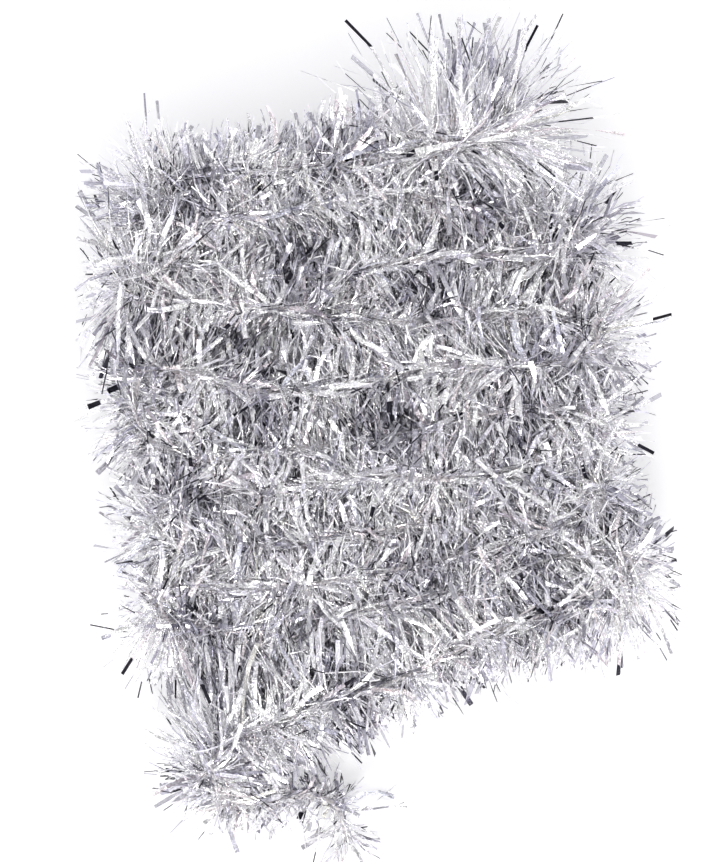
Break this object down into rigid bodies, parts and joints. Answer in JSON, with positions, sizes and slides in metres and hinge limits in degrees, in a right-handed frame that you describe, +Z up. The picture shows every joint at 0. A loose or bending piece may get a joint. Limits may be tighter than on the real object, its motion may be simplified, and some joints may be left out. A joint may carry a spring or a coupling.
{
  "type": "tinsel boa",
  "caption": "Silver metallised-film tinsel boa on a thin two-ply thread, folded to and fro into a flat hank that opens out fold by fold.",
  "frame": {"origin": "on the table, under the middle of the hank's box", "axes": "+Z up, +Y along the hank from the tail to the head, +X across the hank, along its passes"},
  "size_m": [0.1905, 0.2819, 0.06],
  "materials": {
    "core_thread": "spun polyester, two-ply, pale grey",
    "foil_fringe": "metallised polyester film, bright silver"
  },
  "bodies": {
    "run_01": {"core_run_01": "core_thread", "fringe_run_01": "foil_fringe"},
    "head": {"core_head": "core_thread", "fringe_head": "foil_fringe"},
    "run_02": {"core_run_02": "core_thread", "fringe_run_02": "foil_fringe"},
    "run_03": {"core_run_03": "core_thread", "fringe_run_03": "foil_fringe"},
    "run_04": {"core_run_04": "core_thread", "fringe_run_04": "foil_fringe"},
    "run_05": {"core_run_05": "core_thread", "fringe_run_05": "foil_fringe"},
    "run_06": {"core_run_06": "core_thread", "fringe_run_06": "foil_fringe"},
    "run_07": {"core_run_07": "core_thread", "fringe_run_07": "foil_fringe"},
    "run_08": {"core_run_08": "core_thread", "fringe_run_08": "foil_fringe"},
    "run_09": {"core_run_09": "core_thread", "fringe_run_09": "foil_fringe"},
    "run_10": {"core_run_10": "core_thread", "fringe_run_10": "foil_fringe"},
    "run_11": {"core_run_11": "core_thread", "fringe_run_11": "foil_fringe"},
    "tail": {"core_tail": "core_thread", "fringe_tail": "foil_fringe"}
  },
  "joints": [
    {"name": "head_swing", "type": "hinge", "parent": "run_01", "child": "head", "pos_m": [0.0144, 0.1187, 0], "axis": [0, 0, 1], "range_deg": [0, 75]},
    {"name": "fold_01", "type": "hinge", "parent": "run_01", "child": "run_02", "pos_m": [-0.0886, 0.0918, 0], "axis": [0, 0, -1], "range_deg": [0, 160]},
    {"name": "fold_02", "type": "hinge", "parent": "run_02", "child": "run_03", "pos_m": [0.0775, 0.078, 0], "axis": [0, 0, 1], "range_deg": [0, 165]},
    {"name": "fold_03", "type": "hinge", "parent": "run_03", "child": "run_04", "pos_m": [-0.0955, 0.064, 0], "axis": [0, 0, -1], "range_deg": [0, 170]},
    {"name": "fold_04", "type": "hinge", "parent": "run_04", "child": "run_05", "pos_m": [0.0835, 0.043, 0], "axis": [0, 0, 1], "range_deg": [0, 165]},
    {"name": "fold_05", "type": "hinge", "parent": "run_05", "child": "run_06", "pos_m": [-0.0945, 0.02, 0], "axis": [0, 0, -1], "range_deg": [0, 170]},
    {"name": "fold_06", "type": "hinge", "parent": "run_06", "child": "run_07", "pos_m": [0.0815, 0.012, 0], "axis": [0, 0, 1], "range_deg": [0, 155]},
    {"name": "fold_07", "type": "hinge", "parent": "run_07", "child": "run_08", "pos_m": [-0.083, -0.0234, 0], "axis": [0, 0, -1], "range_deg": [0, 160]},
    {"name": "fold_08", "type": "hinge", "parent": "run_08", "child": "run_09", "pos_m": [0.0855, -0.014, 0], "axis": [0, 0, 1], "range_deg": [0, 155]},
    {"name": "fold_09", "type": "hinge", "parent": "run_09", "child": "run_10", "pos_m": [-0.0825, -0.0536, 0], "axis": [0, 0, -1], "range_deg": [0, 160]},
    {"name": "fold_10", "type": "hinge", "parent": "run_10", "child": "run_11", "pos_m": [0.0955, -0.04, 0], "axis": [0, 0, 1], "range_deg": [0, 170]},
    {"name": "fold_11", "type": "hinge", "parent": "run_11", "child": "tail", "pos_m": [-0.0645, -0.114, 0], "axis": [0, 0, -1], "range_deg": [0, 155]}
  ]
}
